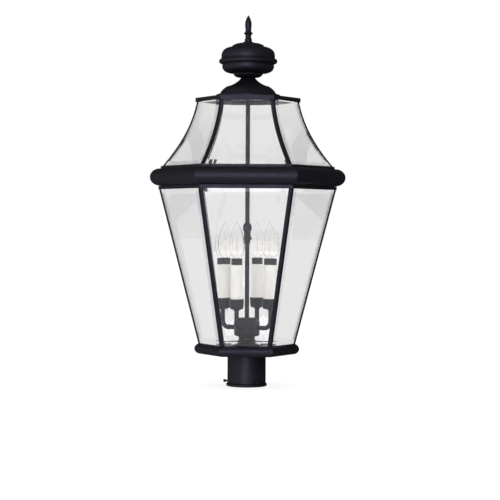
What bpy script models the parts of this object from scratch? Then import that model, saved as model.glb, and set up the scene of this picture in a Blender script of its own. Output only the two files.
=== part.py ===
"""Hexagonal post-top lantern: a glazed cage on a post fitter, a candle cluster on a centre rod, and a lift-off roof.

Sizes are in millimetres and every mesh is scaled to metres as it is made. +Z is up and the origin is the centre of the
post fitter's bottom rim. The hexagon has corners on +X and -X and flat faces to the front (-Y) and the back (+Y).
"""

import math

import bmesh
import bpy
from mathutils import Matrix

MM = 0.001
SIDES = 6
SIDE_ANGLE = 2 * math.pi / SIDES
FLATS = math.cos(math.pi / SIDES)  # a hexagon's distance across flats over its distance across corners
HALF_SIDE = math.tan(math.pi / SIDES)  # half a side over the distance from the centre to its middle
FIT = 0.3  # gap between pieces that touch

# Post fitter: a tube that slips over a 76 mm (3 inch) post
FITTER_R, FITTER_BORE_R, FITTER_TOP = 41.3, 38.8, 68.3
FITTER_BEAD_R, FITTER_BEAD_H = 43.9, 7.0
STOP_R, STOP_THICK = 30.0, 2.0  # inner flange that the post's end comes up against
SCREW_Z, SCREW_COUNT = 11.0, 3
SCREW_R, SCREW_HOLE_R, SCREW_HEAD_R = 2.2, 2.7, 3.2

# Bottom pan
PAN_BOTTOM, PAN_TOP, PAN_FLAT, PAN_SHEET = 68.6, 91.2, 91.0, 1.5
PAN_HOLE_R, PAN_WIRE_R = 26.0, 9.0

# Cage: straight flared walls, given by the corner radius at two heights
CAGE_Z0, CAGE_R0 = 91.0, 104.8
CAGE_Z1, CAGE_R1 = 421.8, 190.6
RAIL_R, RAIL_TOP, RAIL_INNER, RAIL_SHEET = 191.7, 429.7, 150.0, 1.2

# Came, the angle strip at each corner, and the bevelled panes bedded behind its legs, either side of its web
CAGE_LEG, ROOF_LEG, CAME_SKIN, CAME_WEB = 7.0, 5.0, 1.0, 1.0
PANE_EDGE, PANE_THICK, PANE_START = 1.5, 2.5, 1.5
PANE_BACK = CAME_SKIN + FIT + PANE_EDGE  # depth of a pane's inner face below the cage's outer surface
BEVEL_SIDE, BEVEL_END = 18.5, 9.0

# Belt moulding at the foot of the roof
BELT_BOTTOM, BELT_ROUND, BELT_FLAT, BELT_SHEET = 430.0, 18.5, 163.7, 1.5
LIP_R, LIP_TOP, LIP_INNER = 187.0, 472.0, 150.5

# Roof: a concave curve from the lip to the top plate
ROOF_START, ROOF_END = (183.2, 472.3), (109.0, 617.0)
ROOF_LOW_HANDLE, ROOF_HIGH_HANDLE = (143.8, 519.0), (118.0, 564.0)
PLATE_R, PLATE_BOTTOM, PLATE_TOP, PLATE_SHEET = 113.0, 609.8, 618.8, 1.1

# Centre rod and what is threaded on it
ROD_R, ROD_BOTTOM, ROD_TOP, ROD_HOLE_R = 4.75, 121.0, 743.0, 5.3
SHELL = 1.6  # wall of the spun dome, ball halves and cluster body
NECK_R, DOME_TOP = 14.8, 662.0
BALL_JOIN, BALL_TOP = 691.6, 736.3

# Candle cluster
CLUSTER_Z0, CLUSTER_Z1, CLUSTER_Z2 = 91.5, 107.8, 147.0
CLUSTER_R, CLUSTER_CAP_R, CLUSTER_STEP, ARM_Z = 27.6, 23.9, 139.0, 126.0
LIGHTS, LIGHT_START = 4, 66.4
LIGHT_R = 52.5
ARM_R, ARM_BORE_R, ARM_BEND_R, ARM_START = 4.9, 3.3, 15.0, 22.0
CUP_Z0, CUP_Z1, CUP_R, CUP_SEAT = 164.0, 189.0, 15.6, 181.5
SLEEVE_FOOT_R, SLEEVE_R, SLEEVE_BORE_R, SLEEVE_TOP = 13.0, 12.0, 10.4, 261.5
SOCKET_R, SOCKET_STEM_R, SOCKET_TOP, SOCKET_BORE_R = 11.8, 9.8, 275.5, 7.0
BULB_BASE_R, BULB_BASE_Z, BULB_R, BULB_TOP, BULB_WALL = 6.0, 251.0, 16.5, 354.0, 0.8

FINE, ROUND, SMALL = 24, 24, 12  # facets round large, medium and small turned pieces


# ---------------------------------------------------------------- outlines, as lists of (radius, height)


def arc(centre, radius, start, end, steps):
    """Points on a circle from start to end, in degrees from the +radius direction."""
    angles = [math.radians(start + (end - start) * i / steps) for i in range(steps + 1)]
    return [(centre[0] + radius * math.cos(a), centre[1] + radius * math.sin(a)) for a in angles]


def curve(p0, p1, p2, p3, steps):
    """Points on a cubic Bezier curve."""
    points = []
    for i in range(steps + 1):
        t = i / steps
        weights = ((1 - t) ** 3, 3 * t * (1 - t) ** 2, 3 * t * t * (1 - t), t**3)
        points.append(tuple(sum(w * p[k] for w, p in zip(weights, (p0, p1, p2, p3))) for k in (0, 1)))
    return points


def cage_curve(z):
    """Corner radius of the cage and its slope (radius over height) at a height."""
    slope = (CAGE_R1 - CAGE_R0) / (CAGE_Z1 - CAGE_Z0)
    return CAGE_R0 + slope * (z - CAGE_Z0), slope


def roof_curve(z):
    """Corner radius of the roof and its slope at a height, from its Bezier curve."""
    points = curve(ROOF_START, ROOF_LOW_HANDLE, ROOF_HIGH_HANDLE, ROOF_END, 64)
    for (r0, z0), (r1, z1) in zip(points, points[1:]):
        if z <= z1:
            break
    slope = (r1 - r0) / (z1 - z0)
    return r0 + slope * (z - z0), slope


def face_radius(shape, z, depth):
    """Distance from the axis to the middle of a face, at a depth square to the face below its outer surface."""
    corner, slope = shape(z)
    return corner * FLATS - depth * math.hypot(1, slope * FLATS)


# ---------------------------------------------------------------- meshes and objects


def material(name, colour, roughness, metallic=0.0, transmission=0.0):
    mat = bpy.data.materials.new(name)
    mat.use_nodes = True
    shader = mat.node_tree.nodes["Principled BSDF"]
    shader.inputs["Base Color"].default_value = (*colour, 1)
    shader.inputs["Roughness"].default_value = roughness
    shader.inputs["Metallic"].default_value = metallic
    shader.inputs["Transmission Weight"].default_value = transmission
    return mat


def finished(bm, name):
    """The bmesh as a mesh in metres, faces pointing out and round stretches shaded smooth."""
    bmesh.ops.remove_doubles(bm, verts=bm.verts, dist=0.001)
    bmesh.ops.recalc_face_normals(bm, faces=bm.faces)
    bmesh.ops.scale(bm, vec=(MM, MM, MM), verts=bm.verts)
    mesh = bpy.data.meshes.new(name)
    bm.to_mesh(mesh)
    bm.free()
    mesh.shade_smooth()
    mesh.set_sharp_from_angle(angle=math.radians(35))
    return mesh


def turned(name, outline, segments):
    """An outline spun about Z. One that starts and ends on the axis is solid, and any other is closed on itself."""
    bm = bmesh.new()
    verts = [bm.verts.new((r, 0, z)) for r, z in outline]
    edges = [bm.edges.new(pair) for pair in zip(verts, verts[1:])]
    if outline[0][0] > 0:
        edges.append(bm.edges.new((verts[-1], verts[0])))
    bmesh.ops.spin(bm, geom=verts + edges, cent=(0, 0, 0), axis=(0, 0, 1), angle=2 * math.pi, steps=segments)
    return finished(bm, name)


def hexagonal(name, outline):
    """An outline of (distance to a face, height) carried round the six sides."""
    return turned(name, [(flat / FLATS, z) for flat, z in outline], SIDES)


def tube(name, path, radius, bore, segments):
    """A round tube along a path in the XZ plane, open at both ends."""
    bm = bmesh.new()
    rings = []
    for i, (x, z) in enumerate(path):
        before, after = path[max(i - 1, 0)], path[min(i + 1, len(path) - 1)]
        length = math.dist(before, after)
        side = ((after[1] - before[1]) / length, -(after[0] - before[0]) / length)
        ring = []
        for r in (radius, bore):
            for k in range(segments):
                a = 2 * math.pi * (k + 0.5) / segments
                across = r * math.cos(a)
                ring.append(bm.verts.new((x + across * side[0], r * math.sin(a), z + across * side[1])))
        rings.append(ring)
    for low, high in zip(rings, rings[1:]):
        for start in (0, segments):
            for k in range(segments):
                j = (k + 1) % segments
                bm.faces.new([low[start + k], low[start + j], high[start + j], high[start + k]])
    for ring in (rings[0], rings[-1]):
        for k in range(segments):
            j = (k + 1) % segments
            bm.faces.new([ring[k], ring[j], ring[segments + j], ring[segments + k]])
    return finished(bm, name)


def came(name, shape, heights, leg):
    """The strip that follows a corner, here the one on +X: two legs and a web between the panes' edges."""
    half = [(0, leg), (CAME_SKIN, leg), (CAME_SKIN, CAME_WEB), (PANE_BACK, CAME_WEB)]
    bm = bmesh.new()
    rings = []
    for z in heights:
        points = [corner_point(shape, z, 0, 0, 1)]
        points += [corner_point(shape, z, depth, across, 1) for depth, across in half]
        points.append(corner_point(shape, z, PANE_BACK, 0, 1))
        points += [corner_point(shape, z, depth, across, -1) for depth, across in reversed(half)]
        rings.append([bm.verts.new(p) for p in points])
    for low, high in zip(rings, rings[1:]):
        for k in range(len(low)):
            j = (k + 1) % len(low)
            bm.faces.new([low[k], low[j], high[j], high[k]])
    bm.faces.new(rings[0])
    bm.faces.new(rings[-1])
    return finished(bm, name)


def corner_point(shape, z, depth, across, side):
    """A point on the face beside the +X corner, across millimetres along that face from the corner's own plane."""
    middle = face_radius(shape, z, depth)
    along = middle * HALF_SIDE - across
    a = side * SIDE_ANGLE / 2
    return (
        middle * math.cos(a) + along * math.sin(a) * side,
        middle * math.sin(a) - along * math.cos(a) * side,
        z,
    )


def pane(name, shape, heights, leg):
    """A pane whose outer face is bevelled down to a thin edge all round, here the one that faces +X."""
    land = leg + FIT
    columns = [(-1, PANE_START), (-1, land), (-1, BEVEL_SIDE), (1, BEVEL_SIDE), (1, land), (1, PANE_START)]
    bm = bmesh.new()
    grids = []
    for outer in (True, False):
        grid = []
        for i, z in enumerate(heights):
            row = []
            for side, across in columns:
                at_edge = i in (0, len(heights) - 1) or across < BEVEL_SIDE
                thickness = PANE_EDGE if at_edge else PANE_THICK
                depth = PANE_BACK - thickness if outer else PANE_BACK
                middle = face_radius(shape, z, depth)
                row.append(bm.verts.new((middle, side * (middle * HALF_SIDE - across), z)))
            grid.append(row)
        grids.append(grid)
    for grid in grids:
        for low, high in zip(grid, grid[1:]):
            for k in range(len(low) - 1):
                bm.faces.new([low[k], low[k + 1], high[k + 1], high[k]])
    outer, inner = (border(grid) for grid in grids)
    for k in range(len(outer)):
        j = (k + 1) % len(outer)
        bm.faces.new([outer[k], outer[j], inner[j], inner[k]])
    return finished(bm, name)


def border(grid):
    """The vertices round the edge of a grid, in order."""
    right = [row[-1] for row in grid[1:-1]]
    left = [row[0] for row in grid[1:-1]]
    return grid[0] + right + grid[-1][::-1] + left[::-1]


def group(name, parent=None, turn=0.0):
    """An empty on the lantern's axis, turned about it by an angle in radians."""
    empty = bpy.data.objects.new(name, None)
    empty.parent = parent
    empty.rotation_euler = (0, 0, turn)
    bpy.context.scene.collection.objects.link(empty)
    return empty


def place(name, mesh, mat, parent, location=(0, 0, 0), turn=0.0):
    """A piece with its own name, at a location in millimetres, turned about Z by an angle in radians."""
    if not mesh.materials:
        mesh.materials.append(mat)
    piece = bpy.data.objects.new(name, mesh)
    piece.parent = parent
    piece.location = [MM * v for v in location]
    piece.rotation_euler = (0, 0, turn)
    bpy.context.scene.collection.objects.link(piece)
    return piece


def drill(piece, cutters_name, radius, start, end, height, angles):
    """Cuts a radial hole at each angle, from start to end, with a Boolean modifier."""
    bm = bmesh.new()
    for angle in angles:
        made = bmesh.ops.create_cone(
            bm, cap_ends=True, segments=12, radius1=radius, radius2=radius, depth=end - start
        )
        verts = made["verts"]
        bmesh.ops.rotate(bm, verts=verts, cent=(0, 0, 0), matrix=Matrix.Rotation(math.pi / 2, 3, "Y"))
        bmesh.ops.translate(bm, verts=verts, vec=((start + end) / 2, 0, height))
        bmesh.ops.rotate(bm, verts=verts, cent=(0, 0, 0), matrix=Matrix.Rotation(angle, 3, "Z"))
    cutter = place(cutters_name, finished(bm, cutters_name), piece.data.materials[0], piece.parent)
    cutter.hide_render = True
    cutter.display_type = "WIRE"
    cut = piece.modifiers.new("holes", "BOOLEAN")
    cut.operation = "DIFFERENCE"
    cut.solver = "EXACT"
    cut.object = cutter


def spread(low, high, steps, ends):
    """Heights from low to high with a row at the given distance from each end, for the end bevels."""
    inner = [low + ends + (high - low - 2 * ends) * i / steps for i in range(steps + 1)]
    return [low, *inner, high]


# ---------------------------------------------------------------- post fitter and bottom pan


def make_fitter(root, black):
    bead = arc((FITTER_BEAD_R - FITTER_BEAD_H / 2, FITTER_BEAD_H / 2), FITTER_BEAD_H / 2, -90, 90, 6)
    stop = FITTER_TOP - STOP_THICK
    outline = [(FITTER_BORE_R, 0), *bead, (FITTER_R, FITTER_BEAD_H), (FITTER_R, FITTER_TOP)]
    outline += [(STOP_R, FITTER_TOP), (STOP_R, stop), (FITTER_BORE_R, stop)]
    fitter = place("post_fitter", turned("post_fitter", outline, FINE), black, root)
    angles = [math.pi + 2 * math.pi * i / SCREW_COUNT for i in range(SCREW_COUNT)]
    drill(fitter, "screw_hole_cutters", SCREW_HOLE_R, STOP_R, FITTER_BEAD_R + 6, SCREW_Z, angles)

    shank_start, shank_end, head_end = 38.9, 44.4, 50.2
    shape = [(0, 0), (SCREW_R, 0), (SCREW_R, shank_end - shank_start), (SCREW_HEAD_R - 0.6, shank_end - shank_start)]
    shape += [(SCREW_HEAD_R, 0.6 + shank_end - shank_start), (SCREW_HEAD_R, head_end - shank_start - 1)]
    shape += [(SCREW_HEAD_R - 1, head_end - shank_start), (0, head_end - shank_start)]
    mesh = turned("set_screw", shape, 12)
    for i, angle in enumerate(angles):
        holder = group(f"screw_axis_{i + 1}", root, angle)
        screw = place(f"set_screw_{i + 1}", mesh, black, holder, (shank_start, 0, SCREW_Z))
        screw.rotation_euler = (0, math.pi / 2, 0)


def make_pan(root, black):
    mid = (PAN_BOTTOM + PAN_TOP) / 2
    half = (PAN_TOP - PAN_BOTTOM) / 2
    centre = PAN_FLAT - 4.5
    outer = arc((centre, mid), half, -90, 66, 8)
    inner = arc((centre, mid), half - PAN_SHEET, 60, -90, 7)
    outline = [(PAN_HOLE_R, PAN_BOTTOM), *outer, (PAN_FLAT, PAN_TOP), (PAN_WIRE_R, PAN_TOP)]
    outline += [(PAN_WIRE_R, PAN_TOP - PAN_SHEET), (centre, PAN_TOP - PAN_SHEET), *inner]
    outline += [(PAN_HOLE_R, PAN_BOTTOM + PAN_SHEET)]
    place("bottom_pan", hexagonal("bottom_pan", outline), black, root)


# ---------------------------------------------------------------- cage and roof


def make_cage(root, black, glass):
    outer = RAIL_R * FLATS
    inner = outer - RAIL_SHEET
    lip = CAGE_Z1 + FIT
    outline = [(outer, lip), (outer, RAIL_TOP), (RAIL_INNER, RAIL_TOP), (RAIL_INNER, RAIL_TOP - RAIL_SHEET)]
    outline += [(inner, RAIL_TOP - RAIL_SHEET), (inner, lip)]
    place("cage_top_rail", hexagonal("cage_top_rail", outline), black, root)
    rib = came("cage_rib", cage_curve, [PAN_TOP + FIT, CAGE_Z1], CAGE_LEG)
    glazing = pane("cage_glass", cage_curve, spread(PAN_TOP + 2 * FIT, CAGE_Z1 + 2, 1, BEVEL_END), CAGE_LEG)
    for i in range(SIDES):
        place(f"cage_rib_{i + 1}", rib, black, root, turn=i * SIDE_ANGLE)
        place(f"cage_glass_{i + 1}", glazing, glass, root, turn=(i + 0.5) * SIDE_ANGLE)


def make_roof(roof, black, glass):
    middle = (BELT_FLAT, BELT_BOTTOM + BELT_ROUND)
    belt_top = BELT_BOTTOM + 2 * BELT_ROUND
    lip = LIP_R * FLATS
    outline = [(LIP_INNER, BELT_BOTTOM), *arc(middle, BELT_ROUND, -90, 90, 12), (lip, belt_top), (lip, LIP_TOP)]
    outline += [(LIP_INNER, LIP_TOP), (LIP_INNER, LIP_TOP - BELT_SHEET), (lip - BELT_SHEET, LIP_TOP - BELT_SHEET)]
    outline += [(lip - BELT_SHEET, belt_top - BELT_SHEET), *arc(middle, BELT_ROUND - BELT_SHEET, 90, -90, 12)]
    outline += [(LIP_INNER, BELT_BOTTOM + BELT_SHEET)]
    place("belt_moulding", hexagonal("belt_moulding", outline), black, roof)

    low, high = LIP_TOP + FIT, PLATE_TOP - PLATE_SHEET - 3 * FIT
    steps = 8
    rib = came("roof_rib", roof_curve, [low + (high - low) * (i / steps) ** 1.2 for i in range(steps + 1)], ROOF_LEG)
    glazing = pane("roof_glass", roof_curve, spread(low + FIT, high - FIT, 7, BEVEL_END), ROOF_LEG)
    for i in range(SIDES):
        place(f"roof_rib_{i + 1}", rib, black, roof, turn=i * SIDE_ANGLE)
        place(f"roof_glass_{i + 1}", glazing, glass, roof, turn=(i + 0.5) * SIDE_ANGLE)

    outer = PLATE_R * FLATS
    inner = outer - PLATE_SHEET
    under = PLATE_TOP - PLATE_SHEET
    outline = [(outer, PLATE_BOTTOM), (outer, PLATE_TOP), (ROD_HOLE_R + 2, PLATE_TOP), (ROD_HOLE_R + 2, under)]
    outline += [(inner, under), (inner, PLATE_BOTTOM)]
    place("top_plate", hexagonal("top_plate", outline), black, roof)


def make_dome(roof, black):
    """Spun bell on the top plate: a rounded flange, a convex foot and a hollow sweep up to the neck."""
    base = PLATE_TOP + FIT
    flange = [(69, base), (69, 623.5), (67, 626.5), (61, 627.5)]
    foot = curve((60, 628.5), (57.5, 633.5), (51, 640), (45, 643.4), 4)
    sweep = curve((45, 643.4), (34, 645.6), (22, 652.5), (NECK_R, DOME_TOP), 5)
    outer = flange + foot + sweep[1:]
    inside_foot = curve((60 - SHELL, 625.5), (56, 632), (49.5, 638.4), (43.5, 641.6), 3)
    inside_sweep = curve((43.5, 641.6), (33, 643.9), (20.6, 651.2), (13.2, DOME_TOP - SHELL), 4)
    inner = [(69 - SHELL, base), (69 - SHELL, 623), (65.5, 625.1), *inside_foot, *inside_sweep[1:]]
    outline = outer + [(ROD_HOLE_R, DOME_TOP), (ROD_HOLE_R, DOME_TOP - SHELL)] + inner[::-1]
    place("dome", turned("dome", outline, ROUND), black, roof)


def make_ball(roof, black):
    """Two spun halves: a stepped bowl, and a cover with a rolled band that sits over the bowl's rim."""
    base = DOME_TOP + FIT
    bowl = curve((35, 672), (50, 672.8), (56, 679), (56, BALL_JOIN), 6)
    inside = curve((35, 672 + SHELL), (49, 674.4), (56 - SHELL, 680), (56 - SHELL, BALL_JOIN), 5)
    outline = [(ROD_HOLE_R, base), (NECK_R, base), (27, 663.6), (30.5, 667), (31.5, 670.6), *bowl, *inside[::-1]]
    outline += [(30.4, 670.6 + SHELL), (28.6, 668), (25.5, 665.4), (NECK_R, base + SHELL), (ROD_HOLE_R, base + SHELL)]
    place("ball_lower", turned("ball_lower", outline, ROUND), black, roof)

    low = BALL_JOIN + FIT
    band = arc((57.1, low + 5.5), 5.5, -90, 75, 6)
    cover = curve((58, 703.5), (58, 714.5), (56, 725), (38, 728), 6)
    crown = curve((35, 728.8), (33, 732.4), (27, 735.9), (17, BALL_TOP), 3)
    inside_cover = curve((56.5, 702.5), (56.5, 713), (54.4, 723.4), (37.4, 726.4), 5)
    inside_crown = curve((33.4, 727.9), (31.6, 730.9), (26.4, 734.3), (16.6, BALL_TOP - SHELL), 3)
    outline = [(54.5, low), *band, *cover, *crown, (ROD_HOLE_R, BALL_TOP), (ROD_HOLE_R, BALL_TOP - SHELL)]
    outline += [*inside_crown[::-1], *inside_cover[::-1], (54.5, 700)]
    place("ball_upper", turned("ball_upper", outline, ROUND), black, roof)


def make_finial(roof, black):
    """Cap nut with a foot, a ring and a spear, on the rod's end."""
    base = BALL_TOP + FIT
    bore_end = ROD_TOP + 1
    outline = [(0, bore_end), (ROD_HOLE_R, bore_end), (ROD_HOLE_R, base), (11.5, base), (11, 738.4), (7.8, 740)]
    outline += [(7.8, 743.6), (6.4, 747.5), (6.6, 752), (9, 755.5), (10, 758), (8, 761), (6.2, 764.5), (6.2, 769)]
    outline += curve((6.2, 769), (7.6, 776), (7.2, 784), (3.7, 791.3), 4)[1:]
    outline += [(0, 796)]
    place("finial", turned("finial", outline, SMALL), black, roof)


# ---------------------------------------------------------------- centre rod and candle cluster


def make_rod(root, black):
    outline = [(0, ROD_BOTTOM), (ROD_R, ROD_BOTTOM), (ROD_R, ROD_TOP - 1), (ROD_R - 1, ROD_TOP), (0, ROD_TOP)]
    place("tie_rod", turned("tie_rod", outline, SMALL), black, root)
    bore = ROD_HOLE_R - 0.2
    outline = [(bore, 305), (5.7, 305), (7.2, 318), (7.2, 331), (8.2, 333.5), (9.4, 337), (9.4, 344)]
    outline += [(8.2, 348), (6.6, 350.5), (bore, 350.5)]
    place("rod_coupling", turned("rod_coupling", outline, SMALL), black, root)


def make_cluster(root, black):
    """Flared foot with a wire nipple through the pan's floor, and the drum that the arms leave."""
    nipple, wire_hole = 6.0, 4.2
    flare = curve((34, CLUSTER_Z0 + 1.8), (26, 94.6), (17.4, 97), (17.4, 102.5), 4)
    outline = [(wire_hole, CLUSTER_Z0 - 24), (nipple, CLUSTER_Z0 - 24), (nipple, CLUSTER_Z0), (34, CLUSTER_Z0)]
    outline += [*flare, (18.6, CLUSTER_Z1), (wire_hole, CLUSTER_Z1)]
    place("cluster_base", turned("cluster_base", outline, 20), black, root)

    low = CLUSTER_Z1 + FIT
    wall, cap_wall, step = CLUSTER_R - SHELL, CLUSTER_CAP_R - SHELL, CLUSTER_STEP
    cap = [(CLUSTER_CAP_R, step + 0.6), (CLUSTER_CAP_R, CLUSTER_Z2 - 3), (CLUSTER_CAP_R - 3, CLUSTER_Z2)]
    cap_inside = [(cap_wall - 2, CLUSTER_Z2 - SHELL), (cap_wall, CLUSTER_Z2 - SHELL - 2), (cap_wall, step - SHELL)]
    outline = [(wire_hole, low), (CLUSTER_R - 3, low), (CLUSTER_R, low + 3), (CLUSTER_R, step), *cap]
    outline += [(ROD_HOLE_R, CLUSTER_Z2), (ROD_HOLE_R, CLUSTER_Z2 - SHELL), *cap_inside, (wall, step - SHELL)]
    outline += [(wall, low + 3 + SHELL), (wall - 3, low + SHELL), (wire_hole, low + SHELL)]
    body = place("cluster_body", turned("cluster_body", outline, 20), black, root)
    angles = [math.radians(LIGHT_START + 360 * i / LIGHTS) for i in range(LIGHTS)]
    drill(body, "arm_hole_cutters", ARM_R + 0.5, 18, CLUSTER_R + 4, ARM_Z, angles)
    return angles


def make_lights(root, angles, black, resin, phenolic, bulb_glass):
    """Four candles: bent tube arm, cup, sleeve, socket and bulb, each on its own radius from the axis."""
    bend = arc((LIGHT_R - ARM_BEND_R, ARM_Z + ARM_BEND_R), ARM_BEND_R, -90, 0, 5)
    arm = tube("arm", [(ARM_START, ARM_Z), *bend, (LIGHT_R, CUP_Z0 - FIT)], ARM_R, ARM_BORE_R, 10)

    dish = [(11.7, CUP_Z0 + 3.5), *curve((12.4, CUP_Z0 + 3.8), (14, 169), (15, 172), (CUP_R - 0.3, 180), 3)]
    outline = [(3, CUP_Z0), (6.4, CUP_Z0), (7, CUP_Z0 + 3), *dish, (CUP_R, CUP_Z1), (CUP_R - 1.4, CUP_Z1)]
    outline += [(CUP_R - 1.8, CUP_SEAT), (3, CUP_SEAT)]
    cup = turned("candle_cup", outline, SMALL)

    seat = CUP_SEAT + FIT
    outline = [(SLEEVE_BORE_R, seat), (SLEEVE_FOOT_R, seat), (SLEEVE_R, SLEEVE_TOP), (SLEEVE_BORE_R, SLEEVE_TOP)]
    sleeve = turned("candle_sleeve", outline, SMALL)

    collar = SLEEVE_TOP + FIT
    floor = BULB_BASE_Z - 2
    outline = [(0, seat), (5, seat), (5, 214), (SOCKET_STEM_R, 216), (SOCKET_STEM_R, collar), (SOCKET_R, collar)]
    outline += [(SOCKET_R, SOCKET_TOP), (SOCKET_BORE_R, SOCKET_TOP), (SOCKET_BORE_R, floor), (0, floor)]
    socket = turned("socket", outline, SMALL)

    neck = SOCKET_TOP + 1.5
    wall = BULB_BASE_R - BULB_WALL
    torpedo = curve((BULB_BASE_R, neck), (BULB_R + 3.5, neck + 8), (BULB_R + 5.5, neck + 41), (0, BULB_TOP), 8)
    inside_top = (0, BULB_TOP - 2 * BULB_WALL)
    hollow = curve((wall, neck + 1), (BULB_R + 2.5, neck + 9), (BULB_R + 4.3, neck + 40), inside_top, 6)
    outline = [*torpedo[::-1], (BULB_BASE_R, BULB_BASE_Z + 2), (BULB_BASE_R - 1.5, BULB_BASE_Z), (2, BULB_BASE_Z)]
    outline += [(2, BULB_BASE_Z + 1.5), (wall, BULB_BASE_Z + 3), *hollow]
    bulb = turned("bulb", outline, SMALL)

    for i, angle in enumerate(angles):
        light = group(f"light_{i + 1}", root, angle)
        place(f"arm_{i + 1}", arm, black, light)
        place(f"candle_cup_{i + 1}", cup, black, light, (LIGHT_R, 0, 0))
        place(f"candle_sleeve_{i + 1}", sleeve, resin, light, (LIGHT_R, 0, 0))
        place(f"socket_{i + 1}", socket, phenolic, light, (LIGHT_R, 0, 0))
        place(f"bulb_{i + 1}", bulb, bulb_glass, light, (LIGHT_R, 0, 0))


def main():
    for piece in list(bpy.data.objects):
        bpy.data.objects.remove(piece)
    black = material("black_powder_coat", (0.012, 0.012, 0.016), 0.5, 0.3)
    glass = material("clear_glass", (0.95, 0.97, 0.98), 0.02, transmission=1.0)
    bulb_glass = material("bulb_glass", (0.97, 0.97, 0.97), 0.02, transmission=1.0)
    resin = material("candle_resin", (0.86, 0.82, 0.74), 0.5)
    phenolic = material("socket_phenolic", (0.02, 0.02, 0.022), 0.45)

    root = group("lantern")
    roof = group("roof", root)
    make_fitter(root, black)
    make_pan(root, black)
    make_cage(root, black, glass)
    make_roof(roof, black, glass)
    make_dome(roof, black)
    make_ball(roof, black)
    make_finial(roof, black)
    make_rod(root, black)
    angles = make_cluster(root, black)
    make_lights(root, angles, black, resin, phenolic, bulb_glass)


main()
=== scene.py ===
"""Looks of the hexagonal post-top lantern.

Every shown piece is remade round its CAD node, finer and with its own finish. Outlines are in millimetres in
the lantern's own frame (+Z up, origin at the middle of the fitter's bottom rim), and meshes are scaled to
metres as they are made. Turned pieces are fitted into the box of the CAD node that they stand for.
"""

import math

import bmesh
import bpy
from mathutils import Matrix, Vector


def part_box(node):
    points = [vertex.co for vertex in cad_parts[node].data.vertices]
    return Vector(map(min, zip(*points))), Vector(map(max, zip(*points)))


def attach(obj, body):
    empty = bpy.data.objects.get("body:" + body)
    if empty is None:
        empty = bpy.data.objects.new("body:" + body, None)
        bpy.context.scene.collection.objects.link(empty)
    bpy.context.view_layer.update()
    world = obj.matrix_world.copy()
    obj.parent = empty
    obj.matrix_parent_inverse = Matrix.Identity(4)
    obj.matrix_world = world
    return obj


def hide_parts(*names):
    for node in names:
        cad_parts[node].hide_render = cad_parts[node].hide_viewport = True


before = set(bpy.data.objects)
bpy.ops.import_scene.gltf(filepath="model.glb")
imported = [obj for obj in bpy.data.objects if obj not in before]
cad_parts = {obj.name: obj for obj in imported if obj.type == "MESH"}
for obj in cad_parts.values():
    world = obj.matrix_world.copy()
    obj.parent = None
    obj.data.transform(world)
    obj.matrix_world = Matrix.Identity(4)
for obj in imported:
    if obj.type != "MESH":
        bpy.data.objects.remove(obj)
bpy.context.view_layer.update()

MM = 0.001
SIDES = 6
SIDE_ANGLE = 2 * math.pi / SIDES
FLATS = math.cos(math.pi / SIDES)  # a hexagon's distance across flats over its distance across corners
HALF_SIDE = math.tan(math.pi / SIDES)  # half a side over the distance from the centre to its middle


def box_mm(node):
    """Lowest and highest corner of a CAD node, in millimetres."""
    low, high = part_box(node)
    return low / MM, high / MM


def reach(node):
    """Radius and lowest and highest height of a CAD node that is centred on the axis."""
    low, high = box_mm(node)
    return high.x, low.z, high.z


# ---------------------------------------------------------------- outlines, as lists of (radius, height)


ROD_HOLE = 5.3  # radius of the holes that the centre rod passes


def arc(centre, radius, start, end, steps):
    """Points on a circle from start to end, in degrees from the +radius direction."""
    angles = [math.radians(start + (end - start) * i / steps) for i in range(steps + 1)]
    return [(centre[0] + radius * math.cos(a), centre[1] + radius * math.sin(a)) for a in angles]


def curve(p0, p1, p2, p3, steps):
    """Points on a cubic Bezier curve."""
    points = []
    for i in range(steps + 1):
        t = i / steps
        weights = ((1 - t) ** 3, 3 * t * (1 - t) ** 2, 3 * t * t * (1 - t), t**3)
        points.append(tuple(sum(w * p[k] for w, p in zip(weights, (p0, p1, p2, p3))) for k in (0, 1)))
    return points


def fitted(outline, node):
    """An outline round the lantern's axis, stretched to the radius and height of its CAD node."""
    radius, low, high = reach(node)
    top = max(z for _, z in outline)
    bottom = min(z for _, z in outline)
    widest = max(r for r, _ in outline)
    stretch = (high - low) / (top - bottom)
    return [(r * radius / widest, low + (z - bottom) * stretch) for r, z in outline]


# ---------------------------------------------------------------- meshes


def finished(bm, name, sharp=35):
    """The bmesh as a mesh in metres, faces pointing out, with edges over the sharp angle left crisp."""
    bmesh.ops.remove_doubles(bm, verts=bm.verts, dist=0.001)
    bmesh.ops.recalc_face_normals(bm, faces=bm.faces)
    bmesh.ops.scale(bm, vec=(MM, MM, MM), verts=bm.verts)
    mesh = bpy.data.meshes.new(name)
    bm.to_mesh(mesh)
    bm.free()
    mesh.shade_smooth()
    mesh.set_sharp_from_angle(angle=math.radians(sharp))
    return mesh


def turned(name, outline, segments=96, sharp=35):
    """An outline spun about Z: solid if it starts and ends on the axis, otherwise closed on itself."""
    bm = bmesh.new()
    verts = [bm.verts.new((r, 0, z)) for r, z in outline]
    edges = [bm.edges.new(pair) for pair in zip(verts, verts[1:])]
    if outline[0][0] > 0:
        edges.append(bm.edges.new((verts[-1], verts[0])))
    bmesh.ops.spin(
        bm, geom=verts + edges, cent=(0, 0, 0), axis=(0, 0, 1), angle=2 * math.pi, steps=segments
    )
    return finished(bm, name, sharp)


def hexagonal(name, outline, sharp=25):
    """An outline of (distance to a face, height) carried round the six sides."""
    return turned(name, [(flat / FLATS, z) for flat, z in outline], SIDES, sharp)


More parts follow.
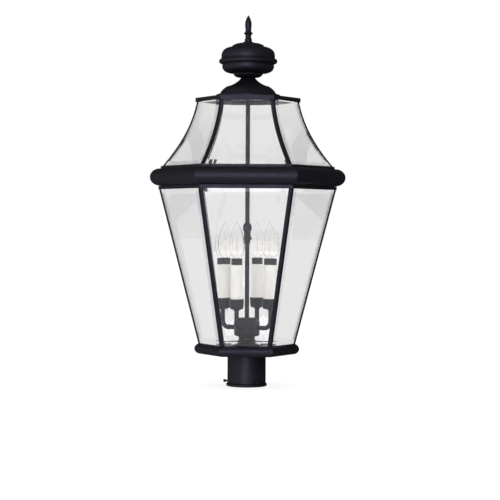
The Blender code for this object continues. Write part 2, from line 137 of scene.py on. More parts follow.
def tube(name, path, radius, bore, segments=24):
    """A round tube along a path in the XZ plane, open at both ends."""
    bm = bmesh.new()
    rings = []
    for i, (x, z) in enumerate(path):
        before, after = path[max(i - 1, 0)], path[min(i + 1, len(path) - 1)]
        length = math.dist(before, after)
        side = ((after[1] - before[1]) / length, -(after[0] - before[0]) / length)
        ring = []
        for r in (radius, bore):
            for k in range(segments):
                a = 2 * math.pi * (k + 0.5) / segments
                across = r * math.cos(a)
                ring.append(bm.verts.new((x + across * side[0], r * math.sin(a), z + across * side[1])))
        rings.append(ring)
    for low, high in zip(rings, rings[1:]):
        for start in (0, segments):
            for k in range(segments):
                j = (k + 1) % segments
                bm.faces.new([low[start + k], low[start + j], high[start + j], high[start + k]])
    for ring in (rings[0], rings[-1]):
        for k in range(segments):
            j = (k + 1) % segments
            bm.faces.new([ring[k], ring[j], ring[segments + j], ring[segments + k]])
    return finished(bm, name)


# ---------------------------------------------------------------- glazing: cames and bevelled panes

CAGE_LEG, ROOF_LEG, CAME_SKIN, CAME_WEB = 6.6, 6.0, 1.0, 1.0
GROOVE_WIDTH, GROOVE_DEPTH = 1.5, 1.3  # V-groove down the corner of a came
PANE_GAP, PANE_EDGE, PANE_THICK, PANE_START = 0.3, 1.5, 2.5, 1.5
PANE_BACK = CAME_SKIN + PANE_GAP + PANE_EDGE  # depth of a pane's inner face below the cage's outer surface
BEVEL_SIDE, BEVEL_END = 22.0, 9.0

CAGE_Z0, CAGE_R0 = 91.0, 104.8
CAGE_Z1, CAGE_R1 = 421.8, 190.6
ROOF_START, ROOF_END = (183.2, 472.3), (109.0, 617.0)
ROOF_LOW_HANDLE, ROOF_HIGH_HANDLE = (143.8, 519.0), (118.0, 564.0)
ROOF_POINTS = curve(ROOF_START, ROOF_LOW_HANDLE, ROOF_HIGH_HANDLE, ROOF_END, 256)


def cage_curve(z):
    """Corner radius of the cage and its slope (radius over height) at a height."""
    slope = (CAGE_R1 - CAGE_R0) / (CAGE_Z1 - CAGE_Z0)
    return CAGE_R0 + slope * (z - CAGE_Z0), slope


def roof_curve(z):
    """Corner radius of the roof and its slope at a height, from its Bezier curve."""
    for (r0, z0), (r1, z1) in zip(ROOF_POINTS, ROOF_POINTS[1:]):
        if z <= z1:
            break
    slope = (r1 - r0) / (z1 - z0)
    return r0 + slope * (z - z0), slope


def face_radius(shape, z, depth):
    """Distance from the axis to the middle of a face, at a depth below its outer surface."""
    corner, slope = shape(z)
    return corner * FLATS - depth * math.hypot(1, slope * FLATS)


def corner_point(shape, z, depth, across, side):
    """A point on a face beside the +X corner, some way across that face from the corner's own plane."""
    middle = face_radius(shape, z, depth)
    along = middle * HALF_SIDE - across
    a = side * SIDE_ANGLE / 2
    return (
        middle * math.cos(a) + along * math.sin(a) * side,
        middle * math.sin(a) - along * math.cos(a) * side,
        z,
    )


def came(name, shape, heights, leg):
    """The strip on the +X corner: two legs with eased edges that meet in a V-groove, and a web."""
    ease = 0.3
    half = [(0, GROOVE_WIDTH / 2), (0, leg - ease), (ease, leg), (CAME_SKIN, leg), (CAME_SKIN, CAME_WEB)]
    half.append((PANE_BACK, CAME_WEB))
    bm = bmesh.new()
    rings = []
    for z in heights:
        points = [corner_point(shape, z, GROOVE_DEPTH, 0, 1)]
        points += [corner_point(shape, z, depth, across, 1) for depth, across in half]
        points.append(corner_point(shape, z, PANE_BACK, 0, 1))
        points += [corner_point(shape, z, depth, across, -1) for depth, across in reversed(half)]
        rings.append([bm.verts.new(p) for p in points])
    for low, high in zip(rings, rings[1:]):
        for k in range(len(low)):
            j = (k + 1) % len(low)
            bm.faces.new([low[k], low[j], high[j], high[k]])
    bm.faces.new(rings[0])
    bm.faces.new(rings[-1])
    return finished(bm, name, 20)


def pane(name, shape, heights, leg):
    """A pane whose outer face is bevelled down to a thin edge all round, here the one that faces +X."""
    land = leg + PANE_GAP
    columns = [(-1, PANE_START), (-1, land), (-1, BEVEL_SIDE), (1, BEVEL_SIDE), (1, land), (1, PANE_START)]
    bm = bmesh.new()
    grids = []
    for outer in (True, False):
        grid = []
        for i, z in enumerate(heights):
            row = []
            for side, across in columns:
                at_edge = i in (0, len(heights) - 1) or across < BEVEL_SIDE
                thickness = PANE_EDGE if at_edge else PANE_THICK
                middle = face_radius(shape, z, PANE_BACK - thickness if outer else PANE_BACK)
                row.append(bm.verts.new((middle, side * (middle * HALF_SIDE - across), z)))
            grid.append(row)
        grids.append(grid)
    for grid in grids:
        for low, high in zip(grid, grid[1:]):
            for k in range(len(low) - 1):
                bm.faces.new([low[k], low[k + 1], high[k + 1], high[k]])
    outer, inner = (border(grid) for grid in grids)
    for k in range(len(outer)):
        j = (k + 1) % len(outer)
        bm.faces.new([outer[k], outer[j], inner[j], inner[k]])
    return finished(bm, name, 3)


def border(grid):
    """The vertices round the edge of a grid, in order."""
    right = [row[-1] for row in grid[1:-1]]
    left = [row[0] for row in grid[1:-1]]
    return grid[0] + right + grid[-1][::-1] + left[::-1]


def spread(low, high, steps, ends):
    """Heights from low to high with a row at the given distance from each end, for the end bevels."""
    inner = [low + ends + (high - low - 2 * ends) * i / steps for i in range(steps + 1)]
    return [low, *inner, high]


# ---------------------------------------------------------------- finishes


class Finish:
    """A material under construction: its node tree, its Principled shader and short ways to add nodes."""

    def __init__(self, name):
        self.mat = bpy.data.materials.new(name)
        self.mat.use_nodes = True
        self.nodes = self.mat.node_tree.nodes
        self.links = self.mat.node_tree.links
        self.shader = self.nodes["Principled BSDF"]
        self.where = self.nodes.new("ShaderNodeTexCoord").outputs["Object"]

    def set(self, **values):
        for key, value in values.items():
            self.shader.inputs[key.replace("_", " ")].default_value = value

    def noise(self, scale, detail=3.0, roughness=0.5, vector=None):
        node = self.nodes.new("ShaderNodeTexNoise")
        node.inputs["Scale"].default_value = scale
        node.inputs["Detail"].default_value = detail
        node.inputs["Roughness"].default_value = roughness
        self.links.new(vector or self.where, node.inputs["Vector"])
        return node.outputs["Fac"]

    def range(self, value, low, high, start=0.3, end=0.7):
        node = self.nodes.new("ShaderNodeMapRange")
        self.links.new(value, node.inputs["Value"])
        for key, number in (("From Min", start), ("From Max", end), ("To Min", low), ("To Max", high)):
            node.inputs[key].default_value = number
        return node.outputs["Result"]

    def mix(self, factor, first, second):
        node = self.nodes.new("ShaderNodeMix")
        node.data_type = "RGBA"
        self.links.new(factor, node.inputs["Factor"])
        for key, value in (("A", first), ("B", second)):
            sockets = [s for s in node.inputs if s.name == key and s.type == "RGBA"]
            sockets[0].default_value = (*value, 1)
        return [s for s in node.outputs if s.type == "RGBA"][0]

    def bump(self, height, strength, distance, normal=None):
        node = self.nodes.new("ShaderNodeBump")
        node.inputs["Strength"].default_value = strength
        node.inputs["Distance"].default_value = distance
        self.links.new(height, node.inputs["Height"])
        if normal:
            self.links.new(normal, node.inputs["Normal"])
        return node.outputs["Normal"]

    def plug(self, socket, output):
        self.links.new(output, self.shader.inputs[socket])

    def colour(self, scale, detail, first, second):
        """A base colour that wanders between two, with a noise of the given scale and detail."""
        self.plug("Base Color", self.mix(self.range(self.noise(scale, detail), 0, 1), first, second))

    def roughness(self, scale, detail, low, high):
        """A roughness that wanders between two values."""
        self.plug("Roughness", self.range(self.noise(scale, detail), low, high))


def powder_coat(name="black_powder_coat", lumps=0.12):
    """Black powder coat with a faint violet cast: a close grain, lumps and a slightly uneven gloss."""
    f = Finish(name)
    f.set(Metallic=0.0, IOR=1.5)
    f.colour(26, 4, (0.0026, 0.0024, 0.0034), (0.0041, 0.0037, 0.0053))
    f.roughness(90, 3, 0.40, 0.52)
    grain = f.bump(f.noise(900, 2, 0.6), 0.35, 0.00025)
    f.plug("Normal", f.bump(f.noise(60 + 300 * lumps, 2), lumps, 0.0006, grain))
    f.set(Specular_Tint=(0.78, 0.77, 1.0, 1))
    return f.mat


def clear_glass():
    """Float glass with a trace of tint and slow ripples."""
    f = Finish("clear_glass")
    f.set(Roughness=0.0, IOR=1.5, Transmission_Weight=1.0)
    f.colour(4, 2, (0.895, 0.888, 0.893), (0.910, 0.903, 0.908))
    f.plug("Normal", f.bump(f.noise(9, 1), 0.05, 0.002))
    return f.mat


def bulb_glass():
    """Thin clear glass, with a cream glow that fades above the bulb's shoulder."""
    f = Finish("bulb_glass")
    f.set(Roughness=0.0, IOR=1.1, Transmission_Weight=1.0, Emission_Color=(1.0, 0.84, 0.66, 1))
    glow, full_up_to, none_from = 0.02, 0.290, 0.325
    parts = f.nodes.new("ShaderNodeSeparateXYZ")
    f.links.new(f.where, parts.inputs[0])
    f.plug("Emission Strength", f.range(parts.outputs["Z"], glow, 0.0, full_up_to, none_from))
    f.colour(30, 2, (0.985, 0.985, 0.98), (0.995, 0.995, 0.99))
    return f.mat


def candle_resin():
    """Warm white candle sleeve: moulded plastic, slightly waxy."""
    f = Finish("candle_resin")
    f.set(Subsurface_Weight=0.15, Subsurface_Scale=0.004, IOR=1.46)
    f.colour(40, 3, (0.93, 0.905, 0.85), (0.96, 0.935, 0.885))
    f.roughness(160, 3, 0.38, 0.5)
    f.plug("Normal", f.bump(f.noise(220, 2), 0.1, 0.0002))
    return f.mat


def phenolic():
    """Black moulded socket."""
    f = Finish("socket_phenolic")
    f.colour(120, 3, (0.012, 0.012, 0.013), (0.022, 0.021, 0.021))
    f.roughness(300, 2, 0.32, 0.48)
    f.plug("Normal", f.bump(f.noise(500, 2), 0.1, 0.0002))
    return f.mat


def metal(name, first, second, rough):
    f = Finish(name)
    f.set(Metallic=1.0)
    f.colour(200, 3, first, second)
    f.roughness(400, 3, rough - 0.06, rough + 0.08)
    return f.mat


BLACK = powder_coat()
CAST = powder_coat("black_cast_coat", 0.9)
GLASS = clear_glass()
BULB = bulb_glass()
RESIN = candle_resin()
PHENOLIC = phenolic()
BRASS = metal("bulb_brass", (0.72, 0.52, 0.24), (0.80, 0.62, 0.34), 0.28)
WIRE = metal("filament_wire", (0.42, 0.40, 0.38), (0.55, 0.52, 0.48), 0.35)


# ---------------------------------------------------------------- placing pieces


def add(name, mesh, mat, body, stands_for=(), slot=None, at=(0, 0, 0), turn=0.0, matrix=None):
    """A piece at a place in millimetres, turned about Z, that rides on a body and stands for CAD nodes."""
    if not mesh.materials:
        mesh.materials.append(mat)
    piece = bpy.data.objects.new(name, mesh)
    bpy.context.scene.collection.objects.link(piece)
    piece.matrix_world = matrix or Matrix.Translation(Vector(at) * MM) @ Matrix.Rotation(turn, 4, "Z")
    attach(piece, body)
    if stands_for:
        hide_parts(*stands_for)
    return piece


def add_black(name, mesh, body, stands_for=(), **where):
    """A piece in black powder coat."""
    return add(name, mesh, BLACK, body, stands_for, "black_powder_coat", **where)


def ease_edges(piece, width, segments=2, angle=30):
    """A Bevel modifier that rounds the piece's hard edges, with width in millimetres."""
    ease = piece.modifiers.new("eased_edges", "BEVEL")
    ease.width = width * MM
    ease.segments = segments
    ease.limit_method = "ANGLE"
    ease.angle_limit = math.radians(angle)
    ease.harden_normals = True


def drilled(mesh, holes):
    """The mesh with radial holes cut in it, each (radius, start, end, height, angle) in millimetres."""
    body = bpy.data.objects.new("drilled", mesh)
    bm = bmesh.new()
    for radius, start, end, height, angle in holes:
        made = bmesh.ops.create_cone(
            bm, cap_ends=True, segments=32, radius1=radius, radius2=radius, depth=end - start
        )
        verts = made["verts"]
        bmesh.ops.rotate(bm, verts=verts, cent=(0, 0, 0), matrix=Matrix.Rotation(math.pi / 2, 3, "Y"))
        bmesh.ops.translate(bm, verts=verts, vec=((start + end) / 2, 0, height))
        bmesh.ops.rotate(bm, verts=verts, cent=(0, 0, 0), matrix=Matrix.Rotation(angle, 3, "Z"))
    cutter = bpy.data.objects.new("cutter", finished(bm, "cutter"))
    for obj in (body, cutter):
        bpy.context.scene.collection.objects.link(obj)
    cut = body.modifiers.new("holes", "BOOLEAN")
    cut.operation = "DIFFERENCE"
    cut.object = cutter
    bpy.context.view_layer.update()
    result = bpy.data.meshes.new_from_object(body.evaluated_get(bpy.context.evaluated_depsgraph_get()))
    for obj in (body, cutter):
        bpy.data.objects.remove(obj)
    result.set_sharp_from_angle(angle=math.radians(35))
    return result


# ---------------------------------------------------------------- post fitter and bottom pan

SCREW_COUNT = 3
SCREW_ANGLES = [math.pi + 2 * math.pi * i / SCREW_COUNT for i in range(SCREW_COUNT)]


def make_fitter():
    rim, bottom, top = reach("post_fitter")
    bead = 3.5
    wall, bore, stop_r, stop = 41.3, 38.8, 30.0, top - 2.0
    outline = [(bore, 0.6), (bore + 0.5, bottom), *arc((rim - bead, bead), bead, -90, 90, 20)]
    crown = 2 * bead
    outline += curve((rim - bead, crown), (wall + 0.2, crown), (wall, crown + 0.2), (wall, 8.6), 4)[1:]
    outline += [(wall, top - 0.5), (wall - 0.5, top), (stop_r, top), (stop_r, stop), (bore, stop)]
    height = (box_mm("set_screw_1")[0].z + box_mm("set_screw_1")[1].z) / 2
    holes = [(2.7, stop_r, rim + 6, height, a) for a in SCREW_ANGLES]
    tube_mesh = drilled(turned("post_fitter_tube", outline), holes)
    add_black("post_fitter_tube", tube_mesh, "root", ["post_fitter"])
    make_set_screws(height)


def make_set_screws(height):
    """Thumb-turned set screws: a threaded shank and a round domed head."""
    low, high = box_mm("set_screw_1")
    inner, outer = -high.x, -low.x
    neck, pitch, crest, root_r = outer - 5.8, 1.0, 2.2, 1.85
    outline = [(0, inner), (root_r - 0.5, inner), (root_r, inner + 0.4)]
    turns = int((neck - inner - 0.8) / pitch)
    for i in range(turns):
        z = inner + 0.5 + i * pitch
        outline += [(root_r, z + 0.1), (crest, z + 0.5 * pitch), (root_r, z + 0.9 * pitch)]
    head = (high.z - low.z) / 2
    outline += [(root_r, neck), (head - 0.4, neck), (head, neck + 0.5), (head, outer - 1.4)]
    outline += [*curve((head, outer - 1.4), (head, outer - 0.5), (head - 1.2, outer), (0, outer), 6)[1:]]
    mesh = turned("set_screw", outline, 32)
    lay = Matrix.Rotation(math.pi / 2, 4, "Y")
    for i, angle in enumerate(SCREW_ANGLES):
        matrix = Matrix.Rotation(angle, 4, "Z") @ Matrix.Translation((0, 0, height * MM)) @ lay
        node = f"set_screw_{i + 1}"
        add_black(f"{node}_threaded", mesh, node, [node], matrix=matrix)


def make_pan():
    rim, bottom, top = reach("bottom_pan")
    mid, half, sheet = (bottom + top) / 2, (top - bottom) / 2, 1.5
    flat = 91.0
    centre = flat - 4.5
    outer = arc((centre, mid), half, -90, 62, 28)
    inner = arc((centre, mid), half - sheet, 58, -90, 24)
    outline = [(26, bottom), *outer, (flat, top - 0.8), (flat - 0.4, top), (9, top), (9, top - sheet)]
    outline += [(centre, top - sheet), *inner, (26, bottom + sheet)]
    add_black("bottom_pan_shell", hexagonal("bottom_pan_shell", outline), "root", ["bottom_pan"])


# ---------------------------------------------------------------- cage and roof


def make_cage():
    low, high = box_mm("cage_top_rail")
    outer, sheet, inside = high.x * FLATS, 1.2, 150.0
    outline = [(outer, low.z), (outer, high.z), (inside, high.z), (inside, high.z - sheet)]
    outline += [(outer - sheet, high.z - sheet), (outer - sheet, low.z)]
    rail = add_black("cage_rail", hexagonal("cage_rail", outline), "root", ["cage_top_rail"])
    ease_edges(rail, 0.3)
    low, high = box_mm("cage_rib_1")
    rib = came("cage_came", cage_curve, [low.z, high.z], CAGE_LEG)
    glass_low, glass_high = box_mm("cage_glass_1")
    glazing = pane("cage_pane", cage_curve, spread(glass_low.z, glass_high.z, 1, BEVEL_END), CAGE_LEG)
    glaze("cage", rib, glazing, "root")


def glaze(where, rib, glazing, body):
    """The six cames and six panes of the cage or the roof."""
    for i in range(SIDES):
        n = i + 1
        rib_node, pane_node = f"{where}_rib_{n}", f"{where}_glass_{n}"
        add_black(f"{where}_came_{n}", rib, body, [rib_node], turn=i * SIDE_ANGLE)
        middle = (i + 0.5) * SIDE_ANGLE
        add(f"{where}_pane_{n}", glazing, GLASS, body, [pane_node], "clear_glass", turn=middle)


def make_belt():
    low, high = box_mm("belt_moulding")
    round_r, sheet, inside = 18.5, 1.5, 150.5
    middle = (high.y - round_r, low.z + round_r)
    belt_top = low.z + 2 * round_r
    lip = 187.0 * FLATS
    outline = [(inside, low.z), *arc(middle, round_r, -90, 90, 48), (lip, belt_top), (lip, high.z - 0.4)]
    outline += [(lip - 0.4, high.z), (inside, high.z)]
    outline += [(inside, high.z - sheet), (lip - sheet, high.z - sheet), (lip - sheet, belt_top - sheet)]
    outline += [*arc(middle, round_r - sheet, 90, -90, 32), (inside, low.z + sheet)]
    add_black("belt_ring", hexagonal("belt_ring", outline), "roof", ["belt_moulding"])


def make_roof():
    low, high = box_mm("roof_rib_1")
    steps = 40
    heights = [low.z + (high.z - low.z) * (i / steps) ** 1.2 for i in range(steps + 1)]
    rib = came("roof_came", roof_curve, heights, ROOF_LEG)
    glass_low, glass_high = box_mm("roof_glass_1")
    glazing = pane("roof_pane", roof_curve, spread(glass_low.z, glass_high.z, 36, BEVEL_END), ROOF_LEG)
    glaze("roof", rib, glazing, "roof")
    low, high = box_mm("top_plate")
    outer, sheet, hole = high.x * FLATS, 1.1, 7.3
    outline = [(outer, low.z), (outer, high.z), (hole, high.z), (hole, high.z - sheet)]
    outline += [(outer - sheet, high.z - sheet), (outer - sheet, low.z)]
    plate = add_black("roof_cap", hexagonal("roof_cap", outline), "roof", ["top_plate"])
    ease_edges(plate, 0.4)


def make_dome():
    """Spun bell: a rounded flange, a convex foot with a fine step, and a hollow sweep up to the neck."""
    flange = [(69, 619.1), *arc((66, 623.2), 3, 0, 90, 6), (62.2, 626.4), (61.4, 627.4)]
    foot = curve((60.2, 628), (58.2, 633.8), (51, 640), (45, 643.4), 20)
    sweep = curve((45, 643.4), (34, 645.6), (22, 652.5), (14.8, 662), 20)
    inside_foot = curve((58.2, 625.6), (56, 632), (49.5, 638.4), (43.5, 641.6), 12)
    inside_sweep = curve((43.5, 641.6), (33, 643.9), (20.6, 651.2), (13.2, 660.4), 12)
    outline = flange + foot + sweep[1:] + [(ROD_HOLE, 662), (ROD_HOLE, 660.4)]
    outline += [*inside_sweep[::-1], *inside_foot[-2::-1], (65, 624.8), (67.4, 623), (67.4, 619.1)]
    add_black("dome_bell", turned("dome_bell", fitted(outline, "dome")), "roof", ["dome"])


def make_ball():
    """Two spun halves: a stepped bowl, and a cover with a rolled band that sits over the bowl's rim."""
    bowl = curve((34.6, 671.7), (49.6, 672.3), (56, 678.6), (56, 688.6), 28)
    inside = curve((35, 673.6), (49, 674.4), (54.4, 680), (54.4, 690), 20)
    under = curve((14.8, 662.3), (24, 662.6), (29.6, 664.4), (31.2, 670), 12)
    outline = [(ROD_HOLE, 662.3), *under, (31.8, 671.2), *bowl]
    outline += [(54.4, 689.2), (54.4, 690.9), (56, 691.2), (56, 691.6), (52.8, 691.6), *inside[::-1]]
    outline += [(30.4, 672.2), (28.6, 668), (25.5, 665.4), (14.8, 663.9), (ROD_HOLE, 663.9)]
    add_black("ball_bowl", turned("ball_bowl", fitted(outline, "ball_lower")), "roof", ["ball_lower"])

    band = arc((57.1, 697.4), 5.5, -90, 84, 20)
    cover = curve((57.6, 704.6), (58, 714.5), (56, 725), (38.2, 727.8), 28)
    crown = curve((35.4, 728.6), (33.4, 732.4), (27, 735.9), (17, 736.3), 12)
    inside_cover = curve((55.8, 702.5), (56.4, 713), (54.4, 723.4), (37.4, 726.2), 20)
    inside_crown = curve((33.4, 727.7), (31.6, 730.9), (26.4, 734.3), (16.6, 734.7), 8)
    outline = [(54.5, 691.9), *band, (56.2, 702.9), (56.2, 703.9), *cover, (36.8, 728), *crown]
    outline += [(ROD_HOLE, 736.3), (ROD_HOLE, 734.7), *inside_crown[::-1], *inside_cover[::-1], (54.5, 700)]
    add_black("ball_cover", turned("ball_cover", fitted(outline, "ball_upper")), "roof", ["ball_upper"])


def make_finial():
    """Cap nut with a rolled foot, a sharp ring between two flares, and a slender spear."""
    outline = [(0, 744), (ROD_HOLE, 744), (ROD_HOLE, 736.6), *arc((10.4, 737.7), 1.1, -90, 60, 6)]
    outline += [(8.2, 739.4), (7.6, 740.2), (7.8, 742), *curve((7.9, 743.4), (7.6, 745.6), (6.2, 746.6), (6.1, 749), 6)]
    outline += curve((6.1, 750.4), (6.4, 753.8), (7.4, 755.8), (9.4, 756.8), 6)
    outline += arc((9.3, 757.6), 0.7, -60, 60, 4)
    outline += curve((8.8, 758.6), (7, 759.6), (6.2, 761.6), (6.1, 765), 6)
    outline += curve((6.1, 766.2), (7.9, 775), (7.8, 785), (1.1, 794.8), 16)
    outline += [(0.5, 795.8), (0, 796)]
    add_black("finial_spear", turned("finial_spear", fitted(outline, "finial"), 64), "finial", ["finial"])


# ---------------------------------------------------------------- centre rod and candle cluster


def make_rod():
    rod_r, bottom, top = reach("tie_rod")
    outline = [(0, bottom), (rod_r - 0.5, bottom), (rod_r, bottom + 0.5)]
    outline += [(rod_r, top - 1), (rod_r - 1, top), (0, top)]
    add_black("centre_rod", turned("centre_rod", outline, 40), "root", ["tie_rod"])
    bore = 5.1
    outline = [(bore, 305), (5.5, 305), *curve((5.7, 306), (5.8, 311), (7.2, 314), (7.2, 319), 10)]
    outline += [(7.2, 331), *arc((6.9, 332), 0.9, -60, 60, 6), (7.3, 333)]
    outline += curve((7.6, 333.4), (9.1, 334.4), (9.4, 336.6), (9.4, 340), 8)
    outline += curve((9.4, 340), (9.4, 345), (8.8, 347.5), (7, 348.6), 8)[1:]
    outline += [(6.6, 349.2), (6.4, 350.5), (bore, 350.5)]
    add("rod_knob", turned("rod_knob", fitted(outline, "rod_coupling"), 56), CAST, "root", ["rod_coupling"],
        "black_powder_coat")
    make_knob_screw()


def make_knob_screw():
    """Small thumb screw on the right of the coupling."""
    outline = [(0, 5.6), (3, 5.6), (3, 8), (2.6, 9), (1.8, 9.5), (0, 9.7)]
    height = 317.5
    matrix = Matrix.Translation((0, 0, height * MM)) @ Matrix.Rotation(math.pi / 2, 4, "Y")
    add_black("knob_screw", turned("knob_screw", outline, 24), "root", matrix=matrix)


def make_cluster():
    flare = curve((34, 93.3), (26, 94.6), (17.4, 97), (17.4, 102.5), 20)
    outline = [(4.2, 67.5), (5.6, 67.5), (6, 68), (6, 91.5), (34, 91.5), *flare]
    outline += curve((17.4, 104), (17.4, 105.6), (18, 106.2), (18.6, 106.8), 6)
    outline += [(18.6, 107.8), (4.2, 107.8)]
    foot = turned("cluster_foot", fitted(outline, "cluster_base"), 72)
    add_black("cluster_foot", foot, "root", ["cluster_base"])

    cap = [(24.3, 139.4), *curve((23.9, 139.8), (23.9, 144.6), (23, 147), (19.4, 147), 12)]
    cap_inside = [(18.6, 145.4), (20.8, 145), (22.2, 143), (22.2, 137.4), (26, 137.4)]
    outline = [(4.2, 108.1), (24.4, 108.1), (25.4, 108.6), (27.3, 110.6), (27.6, 111.6)]
    outline += [(27.6, 138.4), (27, 139)]
    outline += [*cap, (ROD_HOLE, 147), (ROD_HOLE, 145.4), *cap_inside]
    outline += [(26, 112.7), (23, 109.7), (4.2, 109.7)]
    mesh = turned("cluster_drum", fitted(outline, "cluster_body"), 72)
    holes = [(5.2, 18, 30, ARM_Z, a) for a in LIGHT_ANGLES]
    add_black("cluster_drum", drilled(mesh, holes), "root", ["cluster_body"])


ARM_Z = 126.0
LIGHTS = 4


def light_centres():
    """The middle of each candle, in millimetres, from its bulb's box."""
    centres = []
    for i in range(LIGHTS):
        low, high = box_mm(f"bulb_{i + 1}")
        centres.append((low + high) / 2)
    return centres


LIGHT_CENTRES = light_centres()
LIGHT_ANGLES = [math.atan2(c.y, c.x) for c in LIGHT_CENTRES]


def around(outline, node):
    """An outline round a candle's own axis, stretched to the height of its CAD node."""
    low, high = box_mm(node)
    top = max(z for _, z in outline)
    bottom = min(z for _, z in outline)
    stretch = (high.z - low.z) / (top - bottom)
    return [(r, low.z + (z - bottom) * stretch) for r, z in outline]


def make_lights():
    radius = math.hypot(LIGHT_CENTRES[0].x, LIGHT_CENTRES[0].y)
    bend, cup_z = 15.0, 164.0
    path = [(22, ARM_Z), *arc((radius - bend, ARM_Z + bend), bend, -90, 0, 20), (radius, cup_z - 0.3)]
    arm = tube("arm_tube", path, 4.9, 3.3, 28)

    dish = [(11.2, 167.2), *curve((11.9, 167.5), (14.2, 168.6), (14.9, 171.6), (15.3, 180), 14)]
    outline = [(3, 164), (6, 164), (6.5, 164.5), (7, 166.8), *dish, (15.6, 188.4), (15.2, 189), (14.6, 189)]
    outline += [(14.2, 188.4), (13.8, 181.5), (3, 181.5)]
    cup = turned("cup_dish", around(outline, "candle_cup_1"), 56)

    outline = [(10.4, 181.8), (13, 181.8), (12, 260.9), (11.7, 261.5), (10.7, 261.5), (10.4, 261)]
    sleeve = turned("sleeve_tube", around(outline, "candle_sleeve_1"), 56)

    collar = [(9.8, 261.8), (11.5, 261.8), (11.8, 262.2), (11.8, 266.4), (11.55, 266.8), (11.8, 267.2)]
    outline = [(0, 181.8), (5, 181.8), (5, 214), (9.8, 216), *collar]
    outline += [(11.8, 274.9), (11.2, 275.5), (7.4, 275.5), (7, 275.1), (7, 249), (0, 249)]
    socket = turned("socket_body", around(outline, "socket_1"), 56)

    envelope = bulb_envelope()
    base = bulb_base()
    stem = bulb_stem()
    filament = bulb_filament()
    for i, (centre, angle) in enumerate(zip(LIGHT_CENTRES, LIGHT_ANGLES)):
        n = i + 1
        at = (centre.x, centre.y, 0)
        add_black(f"arm_tube_{n}", arm, "root", [f"arm_{n}"], turn=angle)
        add_black(f"cup_dish_{n}", cup, "root", [f"candle_cup_{n}"], at=at, turn=angle)
        add(f"sleeve_tube_{n}", sleeve, RESIN, "root", [f"candle_sleeve_{n}"], "candle_resin", at, angle)
        add(f"socket_body_{n}", socket, PHENOLIC, "root", [f"socket_{n}"], "socket_phenolic", at, angle)
        node = f"bulb_{n}"
        add(f"bulb_envelope_{n}", envelope, BULB, node, [node], "bulb_glass", at, angle)
        add(f"bulb_base_{n}", base, BRASS, node, at=at, turn=angle)
        add(f"bulb_stem_{n}", stem, BULB, node, slot="bulb_glass", at=at, turn=angle)
        add(f"bulb_filament_{n}", filament, WIRE, node, at=at, turn=angle)


def bulb_envelope():
    """Clear torpedo envelope, hollow, open at its neck."""
    low, high = box_mm("bulb_1")
    neck, neck_r, wall, foot = 277.0, 5.6, 0.6, 268.0
    bore = neck_r - wall
    outer = curve((neck_r, neck), (21, 286), (21.6, 320), (0, high.z), 40)
    inner = curve((bore, neck), (21 - wall, 286.4), (21 - 1.2 * wall, 319.6), (0, high.z - 2 * wall), 40)
    outline = [*outer[::-1], (neck_r, foot), (bore, foot), *inner]
    return turned("bulb_envelope", outline, 56)


def bulb_base():
    """Brass screw shell with a rolled thread, over a solder tip."""
    low = box_mm("bulb_1")[0].z
    outline = [(0, low), *arc((0, low + 1.6), 1.6, -80, 0, 4), (1.8, low + 1.8), (4.6, low + 2.4)]
    start, pitch, turns, root_r, crest = low + 3, 2.5, 5, 5.3, 5.9
    for i in range(turns):
        z = start + i * pitch
        outline += [(root_r, z), (crest, z + 0.5 * pitch)]
    top = start + turns * pitch
    outline += [(root_r, top), (crest, top + 1), (crest, 275.4), (5.7, 275.8), (0, 275.8)]
    return turned("bulb_base", outline, 40)


def bulb_stem():
    """Glass flare and pinch inside the bulb, which carry the filament's wires."""
    flare = curve((4.4, 277), (3, 280), (1.8, 282), (1.7, 290), 10)
    outline = [(0, 276.2), (4.4, 276.2), *flare, (1.4, 292), (0, 292.4)]
    return turned("bulb_stem", outline, 24)


def bulb_filament():
    """Two support wires and a fine filament looped between them."""
    bm = bmesh.new()
    loop = [(-3.4, 0, 314), (-2.2, 0.8, 322), (-0.9, -0.6, 313)]
    loop += [(0.3, 0.7, 322.5), (1.5, -0.6, 313.5), (3.4, 0, 314)]
    for path, radius in (
        ([(-0.8, 0, 290), (-1.4, 0, 300), (-3.4, 0, 314.2)], 0.22),
        ([(0.8, 0, 290), (1.4, 0, 300), (3.4, 0, 314.2)], 0.22),
        (loop, 0.12),
    ):
        for a, b in zip(path, path[1:]):
            strut(bm, Vector(a), Vector(b), radius)
    return finished(bm, "bulb_filament", 60)


def strut(bm, a, b, radius, sides=8):
    """A round bar from a to b."""
    made = bmesh.ops.create_cone(
        bm, cap_ends=True, segments=sides, radius1=radius, radius2=radius, depth=(b - a).length + radius
    )
    turn = (b - a).to_track_quat("Z", "Y").to_matrix().to_4x4()
    bmesh.ops.transform(bm, verts=made["verts"], matrix=Matrix.Translation((a + b) / 2) @ turn)


# ---------------------------------------------------------------- studio

SOFT_LIGHT = 2.9  # strength of the surroundings as soft light; the eye sees them at 1
ROOM_BRIGHT_SIDE = (-0.6, -0.75, -0.3)  # where the room that gloss mirrors is brightest
ROOM_DARK, ROOM_BRIGHT = 0.03, 0.55
ROOM_FADE = (-0.3, 0.95)  # cosines to the bright side at which the room is darkest and brightest


def make_floor():
    """A pale table lit from below, so that it meets the white surroundings without a seam."""
    bm = bmesh.new()
    bmesh.ops.create_grid(bm, x_segments=1, y_segments=1, size=30)
    mesh = bpy.data.meshes.new("floor")
    bm.to_mesh(mesh)
    bm.free()
    f = Finish("pale_floor")
    f.set(Roughness=0.9, Specular_IOR_Level=0.0, Emission_Color=(1, 1, 1, 1), Emission_Strength=0.8)
    f.colour(3, 2, (0.100, 0.100, 0.100), (0.110, 0.110, 0.110))
    mesh.materials.append(f.mat)
    floor = bpy.data.objects.new("floor", mesh)
    floor.location.z = -0.0005
    bpy.context.scene.collection.objects.link(floor)
    floor.visible_glossy = False


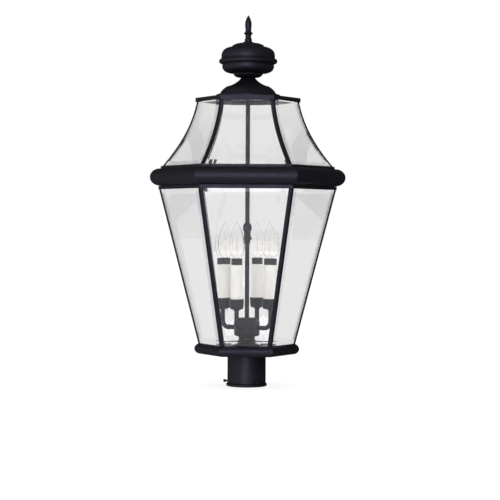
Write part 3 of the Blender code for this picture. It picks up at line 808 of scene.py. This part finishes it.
def softbox(name, position, size, power, colour=(1, 1, 1), aim=(0, 0, 0.42)):
    """A large area light that faces the lantern."""
    data = bpy.data.lights.new(name, "AREA")
    data.shape = "RECTANGLE"
    data.size, data.size_y = size
    data.energy = power
    data.color = colour
    light = bpy.data.objects.new(name, data)
    light.location = position
    light.rotation_euler = (Vector(aim) - Vector(position)).to_track_quat("-Z", "Y").to_euler()
    bpy.context.scene.collection.objects.link(light)


def make_world():
    """White surroundings for the eye, brighter ones for soft light, and a dim room for gloss to mirror."""
    world = bpy.data.worlds.new("studio")
    bpy.context.scene.world = world
    world.use_nodes = True
    nodes, links = world.node_tree.nodes, world.node_tree.links
    paths = nodes.new("ShaderNodeLightPath").outputs
    white = nodes["Background"]
    white.inputs["Color"].default_value = (1, 1, 1, 1)
    soft = nodes.new("ShaderNodeMapRange")
    links.new(paths["Diffuse Depth"], soft.inputs["Value"])
    for key, number in (("From Min", 0), ("From Max", 1), ("To Min", 1.0), ("To Max", SOFT_LIGHT)):
        soft.inputs[key].default_value = number
    links.new(soft.outputs["Result"], white.inputs["Strength"])
    room = nodes.new("ShaderNodeBackground")
    room.inputs["Color"].default_value = (0.92, 0.92, 1.0, 1)
    toward = nodes.new("ShaderNodeVectorMath")
    toward.operation = "DOT_PRODUCT"
    links.new(nodes.new("ShaderNodeTexCoord").outputs["Generated"], toward.inputs[0])
    toward.inputs[1].default_value = Vector(ROOM_BRIGHT_SIDE).normalized()
    lift = nodes.new("ShaderNodeMapRange")
    links.new(toward.outputs["Value"], lift.inputs["Value"])
    limits = (*ROOM_FADE, ROOM_DARK, ROOM_BRIGHT)
    for key, number in zip(("From Min", "From Max", "To Min", "To Max"), limits):
        lift.inputs[key].default_value = number
    links.new(lift.outputs["Result"], room.inputs["Strength"])
    mirrored = nodes.new("ShaderNodeMath")
    mirrored.operation = "GREATER_THAN"
    links.new(paths["Is Glossy Ray"], mirrored.inputs[0])
    links.new(paths["Is Transmission Ray"], mirrored.inputs[1])
    mixer = nodes.new("ShaderNodeMixShader")
    links.new(mirrored.outputs[0], mixer.inputs["Fac"])
    links.new(white.outputs[0], mixer.inputs[1])
    links.new(room.outputs[0], mixer.inputs[2])
    links.new(mixer.outputs[0], nodes["World Output"].inputs["Surface"])


def make_camera():
    """A long lens, a little above the middle of the cage and right of square on, with a slight roll."""
    distance, eye, aim_height = 3.65, 0.354, 0.2925
    azimuth, aim_right, roll = math.radians(1.1), 0.0060, math.radians(0.3)
    data = bpy.data.cameras.new("camera")
    data.lens, data.sensor_width = 122.2, 36.0
    camera = bpy.data.objects.new("camera", data)
    bpy.context.scene.collection.objects.link(camera)
    place = Vector((math.sin(azimuth) * distance, -math.cos(azimuth) * distance, eye))
    aim = Vector((math.cos(azimuth) * aim_right, math.sin(azimuth) * aim_right, aim_height))
    look = (aim - place).to_track_quat("-Z", "Y").to_matrix().to_4x4()
    camera.matrix_world = Matrix.Translation(place) @ look @ Matrix.Rotation(roll, 4, "Z")
    bpy.context.scene.camera = camera


def main():
    make_camera()
    make_fitter()
    make_pan()
    make_cage()
    make_belt()
    make_roof()
    make_dome()
    make_ball()
    make_finial()
    make_rod()
    make_cluster()
    make_lights()
    make_floor()
    make_world()
    softbox("front", (-0.5, -4.2, 0.6), (2.2, 3.0), 64, (0.84, 0.87, 1.0))
    softbox("key", (-2.6, -2.4, 1.2), (1.2, 1.2), 4, (0.95, 0.95, 1.0))
    bpy.context.scene.view_settings.view_transform = "Standard"


main()
